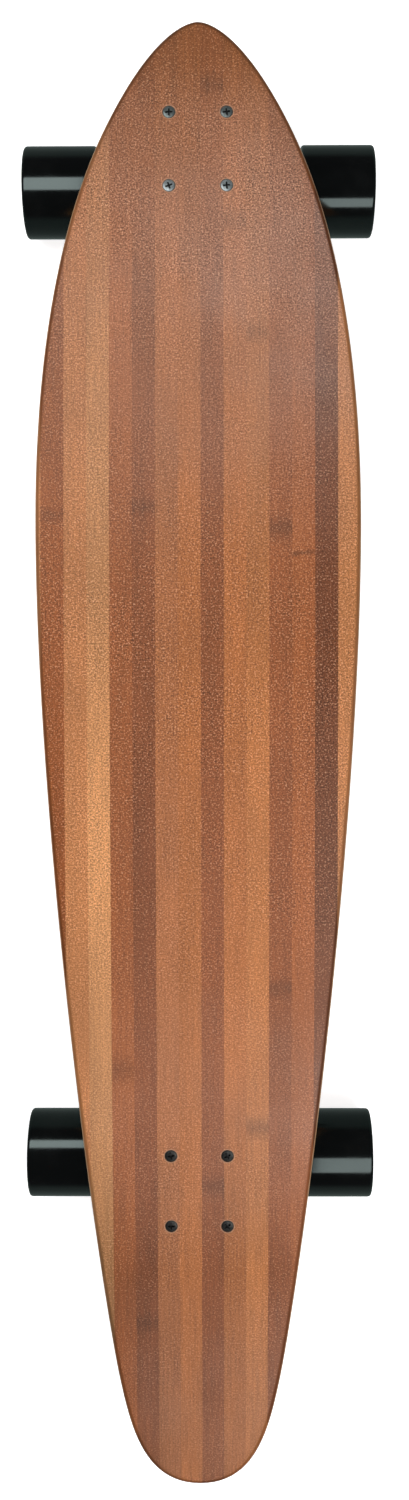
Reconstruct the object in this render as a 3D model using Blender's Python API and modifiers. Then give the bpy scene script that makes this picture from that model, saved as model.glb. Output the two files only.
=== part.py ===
"""Pintail longboard: a cambered three-ply bamboo deck on two reverse-kingpin trucks with four wheels.

Metres, +Z up. +Y points to the nose and +X to the right of someone who faces the nose. The origin is on the
ground, below the middle of the deck's length. The deck is laid out by its arc length from the point midway
between the trucks. Each truck is laid out in its own frame: x across, inboard (towards the middle of the
board) and drop (away from the deck's underside), from the middle of its four screws.
"""

from math import cos, pi, radians, sin, sqrt

import bmesh
import bpy
import numpy as np
from mathutils import Matrix, Vector
from mathutils.geometry import interpolate_bezier

MM = 0.001
GAP = 0.3 * MM
COLLECTION = "pintail_longboard"

# Deck
TRUCK_SPACING = 754.6 * MM
NOSE = 473.0 * MM
TAIL = -614.9 * MM
CAMBER_RADIUS = 3850 * MM
DECK_THICKNESS = 12 * MM
FACE_PLY = 1.4 * MM
CORE_PLY = DECK_THICKNESS - 2 * FACE_PLY - 2 * GAP
FACE_PLY_ROUND = 0.6 * MM
ROW_STEP = 30 * MM
ROWS_AHEAD = 13.5
ROWS_BEHIND = 18.5
NOSE_ROWS = 7
TAIL_ROWS = 7

# Deck outline anchors from nose to tail: place, half width, heading off the deck's length, handle in and out
OUTLINE = [
    (NOSE, 0.0, radians(90), 0.0, 7.5 * MM),
    (397.6 * MM, 65.0 * MM, radians(25.8), 75.2 * MM, 43.0 * MM),
    (109.8 * MM, 116.0 * MM, 0.0, 164.7 * MM, 215.7 * MM),
    (-528.8 * MM, 59.7 * MM, radians(-10.7), 72.9 * MM, 40.7 * MM),
    (TAIL, 0.0, radians(-90), 42.4 * MM, 0.0),
]

# Truck screws: the standard rectangle of four
SCREW_SPACING_X = 41.3 * MM
SCREW_SPACING_Y = 54.0 * MM
SCREW_RADIUS = 2.45 * MM
SCREW_HEAD_RADIUS = 4.5 * MM
SCREW_HEAD_DEPTH = 2.6 * MM
SCREW_HEAD_SUNK = 0.15 * MM
SCREW_END_DROP = 17 * MM
LOCK_NUT_ACROSS_FLATS = 9.5 * MM
LOCK_NUT_HEIGHT = 5 * MM

# Truck base
RISER_TOP_DROP = 0.5 * MM
RISER_THICKNESS = 3 * MM
RISER_SIZE = (57 * MM, 86 * MM)
BASEPLATE_TOP_DROP = RISER_TOP_DROP + RISER_THICKNESS + GAP
BASEPLATE_SIZE = (55 * MM, 84 * MM)
FLANGE_THICKNESS = 6.2 * MM
FLANGE_BOTTOM_DROP = BASEPLATE_TOP_DROP + FLANGE_THICKNESS
CORNER_RADIUS = 8 * MM

# Steering: the axis runs from the pivot cup, outboard and high, to the hanger ring, inboard and low
STEERING_ANGLE = radians(50)
RING_CENTRE = (-9.3 * MM, 38.7 * MM)
PIVOT_DISTANCE = 29 * MM
AXLE_CENTRE = (-1 * MM, 63 * MM)

# Kingpin stack, as distances from the ring's centre along the kingpin, away from the deck
SEAT = -19 * MM
KINGPIN_HEAD = (-40 * MM, -34.3 * MM)
KINGPIN_END = 28 * MM
KINGPIN_RADIUS = 4.75 * MM
KINGPIN_HEAD_ACROSS_FLATS = 14.3 * MM
RING_HALF_HEIGHT = 4 * MM
RING_RADIUS = 15 * MM
RING_BORE_RADIUS = 6.6 * MM
BUSHING_RADIUS = 12.5 * MM
BUSHING_BORE_RADIUS = 5.2 * MM
ROAD_BUSHING_END = 16 * MM
WASHER_THICKNESS = 2 * MM
KINGPIN_NUT_HEIGHT = 8 * MM
KINGPIN_NUT_ACROSS_FLATS = 14.3 * MM
BLOCK_WIDTH = 28 * MM
BLOCK_HEIGHT = 30 * MM
BLOCK_BACK = -44 * MM

# Pivot
NOSE_PIN_RADIUS = 5.5 * MM
CUP_BORE_RADIUS = NOSE_PIN_RADIUS + 0.35 * MM
CUP_RADIUS = 8.5 * MM
CUP_FLOOR = -7.4 * MM
CUP_MOUTH = 5 * MM
HOUSING_RADIUS = 12.5 * MM
HOUSING_MOUTH = 4.5 * MM

# Hanger and axle
HANGER_HALF_LENGTH = 91 * MM
TUBE_RADIUS = 10 * MM
TUBE_END_RADIUS = 8 * MM
AXLE_RADIUS = 4 * MM
AXLE_HALF_LENGTH = 126 * MM
AXLE_NUT_ACROSS_FLATS = 13 * MM
AXLE_NUT_START = 117.9 * MM
AXLE_NUT_HEIGHT = 7 * MM

# Wheels
WHEEL_RADIUS = 33.5 * MM
WHEEL_WIDTH = 55 * MM
WHEEL_CENTRE = 104.5 * MM
LIP_RADIUS = 3.5 * MM
TYRE_BORE_RADIUS = 18.7 * MM
HUB_RADIUS = TYRE_BORE_RADIUS - GAP
HUB_HALF_WIDTH = 14 * MM
HUB_SHOULDER_RADIUS = 7.5 * MM
HUB_SHOULDER_HALF_WIDTH = 4.7 * MM
BEARING_RADIUS = 11 * MM
BEARING_WIDTH = 7 * MM
BEARING_START = 5 * MM

# Worked-out sizes
CAMBER_ANGLE = TRUCK_SPACING / 2 / CAMBER_RADIUS
DECK_MIDDLE_Y = -(CAMBER_RADIUS - FACE_PLY_ROUND) * (
    sin(NOSE / CAMBER_RADIUS) + sin(TAIL / CAMBER_RADIUS)) / 2
UNDERSIDE_AT_TRUCK = (WHEEL_RADIUS + AXLE_CENTRE[1] * cos(CAMBER_ANGLE)
                      - AXLE_CENTRE[0] * sin(CAMBER_ANGLE))
ARC_CENTRE_Z = UNDERSIDE_AT_TRUCK - (CAMBER_RADIUS - DECK_THICKNESS) * cos(CAMBER_ANGLE)

# Colours as (red, green, blue), roughness and metallic
FINISHES = {
    "bamboo": ((0.42, 0.22, 0.11), 0.55, 0.0),
    "maple": ((0.50, 0.34, 0.20), 0.6, 0.0),
    "black_rubber": ((0.02, 0.02, 0.02), 0.8, 0.0),
    "black_aluminium": ((0.03, 0.03, 0.035), 0.35, 0.8),
    "steel": ((0.55, 0.55, 0.56), 0.3, 1.0),
    "black_steel": ((0.03, 0.03, 0.03), 0.35, 0.9),
    "bushing_urethane": ((0.05, 0.05, 0.05), 0.4, 0.0),
    "wheel_urethane": ((0.008, 0.008, 0.009), 0.12, 0.0),
    "hub_plastic": ((0.02, 0.02, 0.02), 0.4, 0.0),
}


def clear_scene():
    for obj in list(bpy.data.objects):
        bpy.data.objects.remove(obj, do_unlink=True)


def new_collection(name):
    collection = bpy.data.collections.new(name)
    bpy.context.scene.collection.children.link(collection)
    return collection


def new_material(name, finish):
    colour, roughness, metallic = finish
    material = bpy.data.materials.new(name)
    material.use_nodes = True
    shader = material.node_tree.nodes["Principled BSDF"]
    shader.inputs["Base Color"].default_value = (*colour, 1.0)
    shader.inputs["Roughness"].default_value = roughness
    shader.inputs["Metallic"].default_value = metallic
    material.diffuse_color = (*colour, 1.0)
    return material


def empty(name, parent, matrix):
    obj = bpy.data.objects.new(name, None)
    obj.empty_display_size = 0.02
    parts.objects.link(obj)
    obj.parent = parent
    obj.matrix_basis = matrix
    return obj


def add_object(name, bm, parent, matrix, finish=None):
    """A mesh object from bm. Without a finish it is a cutter, or a shape that is joined into another."""
    mesh = bpy.data.meshes.new(name)
    bm.to_mesh(mesh)
    bm.free()
    mesh.shade_smooth()
    mesh.set_sharp_from_angle(angle=radians(35))
    obj = bpy.data.objects.new(name, mesh)
    obj.parent = parent
    obj.matrix_basis = matrix
    if finish:
        parts.objects.link(obj)
        mesh.materials.append(materials[finish])
    else:
        cutters.objects.link(obj)
        obj.hide_render = True
        obj.display_type = "WIRE"
    return obj


def boolean(obj, operation, *others):
    for other in others:
        modifier = obj.modifiers.new(other.name, "BOOLEAN")
        modifier.operation = operation
        modifier.solver = "MANIFOLD"
        modifier.object = other


def turned(name, profile, segments, parent, matrix, finish=None, ring=False):
    """A profile of (radius, height) points turned about Z. It runs down the outer side."""
    bm = bmesh.new()
    verts = [bm.verts.new((radius, 0.0, height)) for radius, height in profile]
    for first, second in zip(verts, verts[1:]):
        bm.edges.new((first, second))
    if ring:
        bm.edges.new((verts[-1], verts[0]))
    obj = add_object(name, bm, parent, matrix, finish)
    screw = obj.modifiers.new("turn", "SCREW")
    screw.steps = segments
    screw.render_steps = segments
    screw.use_merge_vertices = True
    screw.merge_threshold = 0.01 * MM
    screw.use_smooth_shade = True
    return obj


def ring_profile(outer, inner, low, high):
    return [(outer, high), (outer, low), (inner, low), (inner, high)]


def rod_profile(radius, low, high):
    return [(0.0, high), (radius, high), (radius, low), (0.0, low)]


def prism(name, sides, radius, low, high, parent, matrix, finish=None):
    bm = bmesh.new()
    bmesh.ops.create_cone(bm, cap_ends=True, segments=sides, radius1=radius, radius2=radius, depth=high - low,
                          matrix=Matrix.Translation((0, 0, (low + high) / 2)))
    return add_object(name, bm, parent, matrix, finish)


def box(name, low, high, parent, matrix, finish=None, corner=0.0):
    """A box between two corners, with its four edges along Z rounded when corner is given."""
    size = Vector(high) - Vector(low)
    middle = (Vector(high) + Vector(low)) / 2
    bm = bmesh.new()
    bmesh.ops.create_cube(bm, size=1.0, matrix=Matrix.Translation(middle) @ Matrix.Diagonal((*size, 1.0)))
    if corner:
        upright = [e for e in bm.edges if abs(e.verts[0].co.z - e.verts[1].co.z) > size.z / 2]
        bmesh.ops.bevel(bm, geom=upright, offset=corner, segments=4, profile=0.5, affect="EDGES")
    return add_object(name, bm, parent, matrix, finish)


def nut(name, across_flats, height, bore_radius, parent, matrix, finish):
    """A hexagon nut that stands on its frame's origin."""
    obj = prism(name, 6, across_flats / sqrt(3), 0.0, height, parent, matrix, finish)
    bore = prism(name + "_bore", 12, bore_radius, -MM, height + MM, parent, matrix)
    boolean(obj, "DIFFERENCE", bore)
    return obj


def half_width(place):
    """The deck's half width at a place along it, read from the outline's curves."""
    curve = []
    for start, end in zip(OUTLINE, OUTLINE[1:]):
        first, second = Vector(start[:2]), Vector(end[:2])
        leave = first + start[4] * Vector((-cos(start[2]), sin(start[2])))
        arrive = second - end[3] * Vector((-cos(end[2]), sin(end[2])))
        curve += interpolate_bezier(first, leave, arrive, second, 200)
    places, widths = zip(*reversed([tuple(point) for point in curve]))
    return float(np.interp(place, places, widths))


def deck_rows():
    """Places of the deck's rows: even in the middle, closer where the ends are round."""
    last = ROW_STEP * ROWS_AHEAD
    first = -ROW_STEP * ROWS_BEHIND
    middle = [first + ROW_STEP * i for i in range(round(ROWS_AHEAD + ROWS_BEHIND) + 1)]
    nose = [NOSE - (NOSE - last) * (i / NOSE_ROWS) ** 2 for i in range(NOSE_ROWS)]
    tail = [TAIL + (first - TAIL) * (i / TAIL_ROWS) ** 2 for i in range(TAIL_ROWS)]
    return tail + middle + nose[::-1]


def deck_point(place, x, depth):
    """A point of the cambered deck, depth below its top face."""
    angle = place / CAMBER_RADIUS
    radius = CAMBER_RADIUS - depth
    return Vector((x, DECK_MIDDLE_Y + radius * sin(angle), ARC_CENTRE_Z + radius * cos(angle)))


def ply(name, top_depth, thickness, finish, round_edge=0.0):
    """One layer of the deck: a flat plate with the deck's outline, bent along the camber and drilled."""
    rows = deck_rows()
    bm = bmesh.new()
    bmesh.ops.create_grid(bm, x_segments=1, y_segments=len(rows) - 1, size=1.0)
    for vert in bm.verts:
        place = rows[round((vert.co.y + 1) / 2 * (len(rows) - 1))]
        vert.co = Vector((vert.co.x * half_width(place), place, 0.0))
    bmesh.ops.remove_doubles(bm, verts=bm.verts, dist=0.01 * MM)
    lower = bmesh.ops.extrude_face_region(bm, geom=bm.faces[:])["geom"]
    for vert in [item for item in lower if isinstance(item, bmesh.types.BMVert)]:
        vert.co.z = -thickness
    for vert in bm.verts:
        vert.co = deck_point(vert.co.y, vert.co.x, top_depth - vert.co.z)
    bmesh.ops.recalc_face_normals(bm, faces=bm.faces)
    obj = add_object(name, bm, None, Matrix(), finish)
    if round_edge:
        bevel = obj.modifiers.new("round", "BEVEL")
        bevel.width = round_edge
        bevel.segments = 1
        bevel.limit_method = "ANGLE"
        bevel.angle_limit = radians(60)
    holes = obj.modifiers.new("screw_holes", "BOOLEAN")
    holes.operation = "DIFFERENCE"
    holes.solver = "EXACT"
    holes.operand_type = "COLLECTION"
    holes.collection = screw_holes
    return obj


def build_deck():
    ply("deck_top_ply", 0.0, FACE_PLY, "bamboo", FACE_PLY_ROUND)
    ply("deck_core", FACE_PLY + GAP, CORE_PLY, "maple")
    ply("deck_bottom_ply", DECK_THICKNESS - FACE_PLY, FACE_PLY, "bamboo", FACE_PLY_ROUND)


def truck_point(x, inboard, drop):
    return Vector((x, -inboard, -drop))


def along(direction, origin):
    """A frame at origin whose Z runs along direction, with its X across the board."""
    z = Vector(direction).normalized()
    x = Vector((1.0, 0.0, 0.0))
    if abs(z.x) > 0.5:
        x = Vector((0.0, 1.0, 0.0))
    y = z.cross(x).normalized()
    matrix = Matrix((x, y, z)).transposed().to_4x4()
    matrix.translation = origin
    return matrix


def screw_profile(grow, above, end):
    """A countersunk screw from above its head to its end, with every radius grown for a clearance cutter."""
    top = -SCREW_HEAD_SUNK
    head = SCREW_HEAD_RADIUS + grow
    shaft = SCREW_RADIUS + grow
    cone = top - SCREW_HEAD_DEPTH
    points = [(0.0, top + above), (head, top + above)]
    if above:
        points.append((head, top - grow))
    return points + [(shaft, cone - grow), (shaft, end), (0.0, end)]


def build_screws(label, truck):
    """The four screws through the deck, riser and baseplate, and their lock nuts."""
    end = -DECK_THICKNESS - SCREW_END_DROP
    number = 0
    for y_side in (1, -1):
        for x_side in (-1, 1):
            number += 1
            at = Matrix.Translation((x_side * SCREW_SPACING_X / 2, y_side * SCREW_SPACING_Y / 2, DECK_THICKNESS))
            turned(f"{label}_screw_{number}", screw_profile(0.0, 0.0, end), 12, truck, at, "black_steel")
            hole = turned(f"{label}_screw_hole_{number}", screw_profile(GAP, 2 * MM, end - MM), 16, truck, at)
            cutters.objects.unlink(hole)
            screw_holes.objects.link(hole)
            nut_base = at @ Matrix.Translation((0, 0, -DECK_THICKNESS - FLANGE_BOTTOM_DROP - GAP - LOCK_NUT_HEIGHT))
            nut(f"{label}_lock_nut_{number}", LOCK_NUT_ACROSS_FLATS, LOCK_NUT_HEIGHT, SCREW_RADIUS + GAP, truck,
                nut_base, "steel")


def build_riser(label, truck):
    half_x, half_y = RISER_SIZE[0] / 2, RISER_SIZE[1] / 2
    pad = box(f"{label}_riser_pad", (-half_x, -half_y, -RISER_TOP_DROP - RISER_THICKNESS),
              (half_x, half_y, -RISER_TOP_DROP), truck, Matrix(), "black_rubber", corner=CORNER_RADIUS)
    drill(pad, label, truck)


def drill(obj, label, truck):
    """Cuts the four screw holes through a piece under the deck."""
    for number, (x_side, y_side) in enumerate(((-1, 1), (1, 1), (-1, -1), (1, -1)), 1):
        at = Matrix.Translation((x_side * SCREW_SPACING_X / 2, y_side * SCREW_SPACING_Y / 2, 0))
        bore = prism(f"{obj.name}_drill_{number}", 12, SCREW_RADIUS + GAP, -FLANGE_BOTTOM_DROP - 2 * MM, MM, truck, at)
        boolean(obj, "DIFFERENCE", bore)


def build_baseplate(label, truck, pivot, kingpin):
    half_x, half_y = BASEPLATE_SIZE[0] / 2, BASEPLATE_SIZE[1] / 2
    plate = box(f"{label}_baseplate", (-half_x, -half_y, -FLANGE_BOTTOM_DROP),
                (half_x, half_y, -RISER_TOP_DROP), truck, Matrix(), "black_aluminium", corner=CORNER_RADIUS)
    housing = turned(f"{label}_pivot_housing", rod_profile(HOUSING_RADIUS, -2 * CUP_RADIUS, HOUSING_MOUTH), 20,
                     truck, pivot)
    block = box(f"{label}_kingpin_block", (-BLOCK_WIDTH / 2, -BLOCK_HEIGHT / 2, BLOCK_BACK),
                (BLOCK_WIDTH / 2, BLOCK_HEIGHT / 2, SEAT), truck, kingpin, corner=3 * MM)
    above = box(f"{label}_board_side", (-half_y, -2 * half_y, -BASEPLATE_TOP_DROP),
                (half_y, 2 * half_y, half_y), truck, Matrix())
    cup_seat = turned(f"{label}_cup_seat", rod_profile(CUP_RADIUS + GAP, CUP_FLOOR - GAP, HOUSING_MOUTH + MM), 20,
                      truck, pivot)
    bore = turned(f"{label}_kingpin_bore", rod_profile(KINGPIN_RADIUS + GAP, KINGPIN_HEAD[0], SEAT + MM), 16,
                  truck, kingpin)
    recess_radius = KINGPIN_HEAD_ACROSS_FLATS / sqrt(3) + GAP
    recess = turned(f"{label}_head_recess",
                    rod_profile(recess_radius, KINGPIN_HEAD[0] - MM, KINGPIN_HEAD[1] + GAP), 16, truck, kingpin)
    head_middle = kingpin @ Vector((0, 0, KINGPIN_HEAD[0]))
    slot = box(f"{label}_head_slot", (-recess_radius, -6 * MM, -4 * MM), (recess_radius, 6 * MM, 30 * MM), truck,
               Matrix.Translation(head_middle))
    boolean(plate, "UNION", housing, block)
    boolean(plate, "DIFFERENCE", above, cup_seat, bore, recess, slot)
    drill(plate, label, truck)


def build_pivot_cup(label, truck, pivot):
    """A cup of rubber whose round floor takes the hanger's nose."""
    bowl = [(CUP_BORE_RADIUS * sin(a), -CUP_BORE_RADIUS * cos(a)) for a in np.linspace(0, pi / 2, 5)]
    wall = [(CUP_BORE_RADIUS, CUP_MOUTH), (CUP_RADIUS, CUP_MOUTH), (CUP_RADIUS, CUP_FLOOR), (0.0, CUP_FLOOR)]
    turned(f"{label}_pivot_cup", bowl + wall, 20, truck, pivot, "black_rubber")


def build_kingpin_stack(label, truck, kingpin):
    head = KINGPIN_HEAD_ACROSS_FLATS / sqrt(3)
    pin = prism(f"{label}_kingpin", 6, head, KINGPIN_HEAD[0], KINGPIN_HEAD[1], truck, kingpin, "steel")
    shaft = turned(f"{label}_kingpin_shaft", rod_profile(KINGPIN_RADIUS, KINGPIN_HEAD[0] + MM, KINGPIN_END), 16,
                   truck, kingpin)
    boolean(pin, "UNION", shaft)
    turned(f"{label}_board_bushing",
           ring_profile(BUSHING_RADIUS, BUSHING_BORE_RADIUS, SEAT + GAP, -RING_HALF_HEIGHT - GAP), 20, truck,
           kingpin, "bushing_urethane", ring=True)
    turned(f"{label}_road_bushing",
           ring_profile(BUSHING_RADIUS, BUSHING_BORE_RADIUS, RING_HALF_HEIGHT + GAP, ROAD_BUSHING_END), 20, truck,
           kingpin, "bushing_urethane", ring=True)
    washer_start = ROAD_BUSHING_END + GAP
    turned(f"{label}_bushing_washer",
           ring_profile(BUSHING_RADIUS, BUSHING_BORE_RADIUS, washer_start, washer_start + WASHER_THICKNESS), 20,
           truck, kingpin, "steel", ring=True)
    nut_base = kingpin @ Matrix.Translation((0, 0, washer_start + WASHER_THICKNESS + GAP))
    nut(f"{label}_kingpin_nut", KINGPIN_NUT_ACROSS_FLATS, KINGPIN_NUT_HEIGHT, KINGPIN_RADIUS + GAP, truck, nut_base,
        "steel")


def hanger_gusset(label, steering, axle_place):
    """The web that spreads from the ring's rim to the axle tube, in the steering frame."""
    rim = Vector((0.0, 0.0, RING_RADIUS - MM))
    axle = Vector((0.0, axle_place.y, axle_place.z))
    frame = along(axle - rim, rim)
    reach = (axle - rim).length
    half_thickness = 4 * MM
    gusset = box(f"{label}_gusset", (-1.0, -half_thickness, 0.0), (1.0, half_thickness, reach), steering, frame)
    for vert in gusset.data.vertices:
        half = 12 * MM if vert.co.z < reach / 2 else 52 * MM
        vert.co.x = half if vert.co.x > 0 else -half
    return gusset


def build_hanger(label, steering, kingpin, axle):
    """The cast hanger: ring, nose arm, web and axle tube. All matrices are in the steering frame."""
    middle = TUBE_RADIUS * 4.4
    tube_profile = [(0.0, HANGER_HALF_LENGTH), (TUBE_END_RADIUS, HANGER_HALF_LENGTH), (TUBE_RADIUS, middle),
                    (TUBE_RADIUS, -middle), (TUBE_END_RADIUS, -HANGER_HALF_LENGTH), (0.0, -HANGER_HALF_LENGTH)]
    hanger = turned(f"{label}_hanger", tube_profile, 20, steering, axle, "black_aluminium")
    ring = turned(f"{label}_hanger_ring", rod_profile(RING_RADIUS, -RING_HALF_HEIGHT, RING_HALF_HEIGHT), 24,
                  steering, kingpin)
    tip = [(NOSE_PIN_RADIUS * cos(a), -PIVOT_DISTANCE - NOSE_PIN_RADIUS * sin(a))
           for a in np.linspace(0, pi / 2, 5)]
    neck_start = -(BUSHING_RADIUS + 0.8 * MM)
    arm_profile = [(0.0, neck_start), (8 * MM, neck_start), (8 * MM, neck_start - 4 * MM),
                   (NOSE_PIN_RADIUS, -PIVOT_DISTANCE + CUP_MOUTH + 1.5 * MM)] + tip
    arm = turned(f"{label}_nose_arm", arm_profile, 16, steering, Matrix())
    gusset = hanger_gusset(label, steering, axle.translation)
    bore = turned(f"{label}_ring_bore", rod_profile(RING_BORE_RADIUS, -2 * RING_HALF_HEIGHT, 2 * RING_HALF_HEIGHT),
                  16, steering, kingpin)
    axle_bore = turned(f"{label}_axle_bore",
                       rod_profile(AXLE_RADIUS + GAP, -AXLE_HALF_LENGTH, AXLE_HALF_LENGTH), 16, steering,
                       axle @ Matrix.Rotation(radians(5), 4, "Z"))
    boolean(hanger, "UNION", gusset, ring, arm)
    boolean(hanger, "DIFFERENCE", bore, axle_bore)
    turned(f"{label}_axle", rod_profile(AXLE_RADIUS, -AXLE_HALF_LENGTH, AXLE_HALF_LENGTH), 16, steering, axle,
           "steel")


def lip(centre_radius, centre_height, first, last):
    """An arc on the wheel's rounded lip, between two angles up from the radius."""
    return [(centre_radius + LIP_RADIUS * cos(a), centre_height + LIP_RADIUS * sin(a))
            for a in np.linspace(first, last, 4)]


def build_wheel(name, spin):
    """A wheel about its spin axis: urethane tyre, plastic hub and two bearings."""
    half = WHEEL_WIDTH / 2
    side = half - LIP_RADIUS
    edge = WHEEL_RADIUS - LIP_RADIUS
    top = lip(edge, side, pi / 2, 0)
    bottom = lip(edge, -side, 0, -pi / 2)
    throat_radius = TYRE_BORE_RADIUS + 2 * MM
    throat = 21 * MM
    profile = top + bottom + [(throat_radius, -throat), (TYRE_BORE_RADIUS, -throat), (TYRE_BORE_RADIUS, throat),
                (throat_radius, throat)]
    turned(f"{name}_tyre", profile, 32, spin, Matrix(), "wheel_urethane", ring=True)
    seat = BEARING_RADIUS + GAP
    shoulder = HUB_SHOULDER_HALF_WIDTH
    turned(f"{name}_hub",
           [(HUB_RADIUS, HUB_HALF_WIDTH), (HUB_RADIUS, -HUB_HALF_WIDTH), (seat, -HUB_HALF_WIDTH),
            (seat, -shoulder), (HUB_SHOULDER_RADIUS, -shoulder), (HUB_SHOULDER_RADIUS, shoulder),
            (seat, shoulder), (seat, HUB_HALF_WIDTH)], 20, spin, Matrix(), "hub_plastic", ring=True)
    for side_name, start in (("inner", -BEARING_START - BEARING_WIDTH), ("outer", BEARING_START)):
        turned(f"{name}_{side_name}_bearing",
               ring_profile(BEARING_RADIUS, AXLE_RADIUS + GAP, start, start + BEARING_WIDTH), 18, spin, Matrix(),
               "steel", ring=True)


def build_truck(label, end):
    """One truck at the front (end = 1) or the rear (end = -1)."""
    frame = (Matrix.Translation(deck_point(end * TRUCK_SPACING / 2, 0.0, DECK_THICKNESS))
             @ Matrix.Rotation(0.0 if end > 0 else pi, 4, "Z") @ Matrix.Rotation(-CAMBER_ANGLE, 4, "X"))
    truck = empty(f"{label}_truck", None, frame)
    steer_direction = truck_point(0, cos(STEERING_ANGLE), sin(STEERING_ANGLE))
    kingpin_direction = truck_point(0, -sin(STEERING_ANGLE), cos(STEERING_ANGLE))
    ring_centre = truck_point(0, *RING_CENTRE)
    steering_frame = along(steer_direction, ring_centre)
    pivot = along(steer_direction, ring_centre - PIVOT_DISTANCE * steer_direction)
    kingpin = along(kingpin_direction, ring_centre)
    steering = empty(f"{label}_steering_axis", truck, steering_frame)
    to_steering = steering_frame.inverted()
    axle = along((1, 0, 0), truck_point(0, *AXLE_CENTRE))

    build_screws(label, truck)
    build_riser(label, truck)
    build_baseplate(label, truck, pivot, kingpin)
    build_pivot_cup(label, truck, pivot)
    build_kingpin_stack(label, truck, kingpin)
    build_hanger(label, steering, to_steering @ kingpin, to_steering @ axle)

    for side_name, local_side in (("left", -end), ("right", end)):
        outward = along((local_side, 0, 0), truck_point(0, *AXLE_CENTRE))
        nut(f"{label}_{side_name}_axle_nut", AXLE_NUT_ACROSS_FLATS, AXLE_NUT_HEIGHT, AXLE_RADIUS + GAP, steering,
            to_steering @ outward @ Matrix.Translation((0, 0, AXLE_NUT_START)), "steel")
        spin = empty(f"{label}_{side_name}_wheel_axis", steering,
                     to_steering @ outward @ Matrix.Translation((0, 0, WHEEL_CENTRE))
                     @ Matrix.Rotation(CAMBER_ANGLE, 4, "Z"))
        build_wheel(f"{label}_{side_name}_wheel", spin)


clear_scene()
parts = new_collection(COLLECTION)
cutters = new_collection("cutters")
screw_holes = new_collection("screw_holes")
cutters.children.link(screw_holes)
bpy.context.scene.collection.children.unlink(screw_holes)
materials = {name: new_material(name, finish) for name, finish in FINISHES.items()}
build_truck("front", 1)
build_truck("rear", -1)
build_deck()
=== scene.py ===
"""The looks of the pintail longboard: a bamboo deck, black wheels and black reverse-kingpin trucks.

Metres, +Z up, +Y to the nose. The deck is laid out by its arc length from the point midway between the trucks,
and each truck in its own frame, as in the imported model.
"""

from math import cos, pi, radians, sin, sqrt

import bmesh
import bpy
from mathutils import Matrix, Vector
from mathutils.geometry import interpolate_bezier


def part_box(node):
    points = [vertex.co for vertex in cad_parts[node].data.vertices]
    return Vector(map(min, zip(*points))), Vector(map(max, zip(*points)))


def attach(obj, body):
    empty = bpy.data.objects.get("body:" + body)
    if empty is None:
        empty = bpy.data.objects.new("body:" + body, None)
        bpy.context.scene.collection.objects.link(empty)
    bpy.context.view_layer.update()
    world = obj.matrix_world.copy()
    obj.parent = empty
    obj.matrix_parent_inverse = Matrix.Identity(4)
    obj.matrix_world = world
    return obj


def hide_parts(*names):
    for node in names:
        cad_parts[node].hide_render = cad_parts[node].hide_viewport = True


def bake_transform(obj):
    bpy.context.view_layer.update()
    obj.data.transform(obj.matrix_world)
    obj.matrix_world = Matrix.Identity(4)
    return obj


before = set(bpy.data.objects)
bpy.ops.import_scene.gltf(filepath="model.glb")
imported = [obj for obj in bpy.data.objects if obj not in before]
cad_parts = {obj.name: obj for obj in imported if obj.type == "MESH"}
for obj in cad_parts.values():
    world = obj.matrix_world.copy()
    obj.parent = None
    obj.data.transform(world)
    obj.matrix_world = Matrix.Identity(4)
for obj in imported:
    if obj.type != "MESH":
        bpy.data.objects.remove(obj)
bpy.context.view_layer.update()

MM = 0.001
ON_AXIS = 1e-7


def mm(*points):
    """Points in millimetres as a list of tuples in metres."""
    return [tuple(value * MM for value in point) for point in points]


# -------- the model's driving sizes
TRUCK_SPACING = 754.6 * MM
NOSE = 473.0 * MM
TAIL = -614.9 * MM
CAMBER_RADIUS = 3850 * MM
DECK_THICKNESS = 12 * MM
# Deck outline anchors from nose to tail: place, half width, heading off the deck's length, handle in and out
OUTLINE = [
    (NOSE, 0.0, radians(90), 0.0, 7.5 * MM),
    (397.6 * MM, 65.0 * MM, radians(25.8), 75.2 * MM, 43.0 * MM),
    (109.8 * MM, 116.0 * MM, 0.0, 164.7 * MM, 215.7 * MM),
    (-528.8 * MM, 59.7 * MM, radians(-10.7), 72.9 * MM, 40.7 * MM),
    (TAIL, 0.0, radians(-90), 42.4 * MM, 0.0),
]
OUTLINE_STEPS = (26, 34, 60, 22)
EDGE_ROUND = 4.0 * MM
VENEER = 1.5 * MM
LAYER_GAP = 0.03 * MM
FACE_PLY_ROUND = 0.6 * MM
CASTING_VOXEL = 0.8 * MM

SCREW_X = 20.65 * MM
SCREW_Y = 27 * MM
STEERING_ANGLE = radians(50)
# In a truck's frame, as (inboard, drop)
RING_CENTRE = (-9.3 * MM, 38.7 * MM)
AXLE_CENTRE = (-1 * MM, 63 * MM)
# How far below the deck's top face a mounting nut's face lies: the deck, the riser with the base's flange, and a gap
NUT_FACE_DEPTH = DECK_THICKNESS + 10.3 * MM
# Sizes of turned and cast pieces, in millimetres
PIVOT_DISTANCE = 29
PIVOT_RADIUS = 5.3
HANGER_HALF_LENGTH = 91
AXLE_HALF_LENGTH = 126
AXLE_BORE = 4.05
BEARING_RADIUS = 11
SEAL_RADII = (6.1, 9.4)
RING_FACE = 4.3
BOARD_BUSHING_SEAT = -18.7
ROAD_BUSHING_SEAT = 16
KINGPIN_RADIUS = 4.75
KINGPIN_HEAD = 14.3

tyre_low, tyre_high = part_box("front_right_wheel_tyre")
WHEEL_RADIUS = (tyre_high.z - tyre_low.z) / 2
WHEEL_WIDTH = tyre_high.x - tyre_low.x
WHEEL_CENTRE = (tyre_high.x + tyre_low.x) / 2
AXLE_NUT_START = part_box("front_right_axle_nut")[0].x

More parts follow.
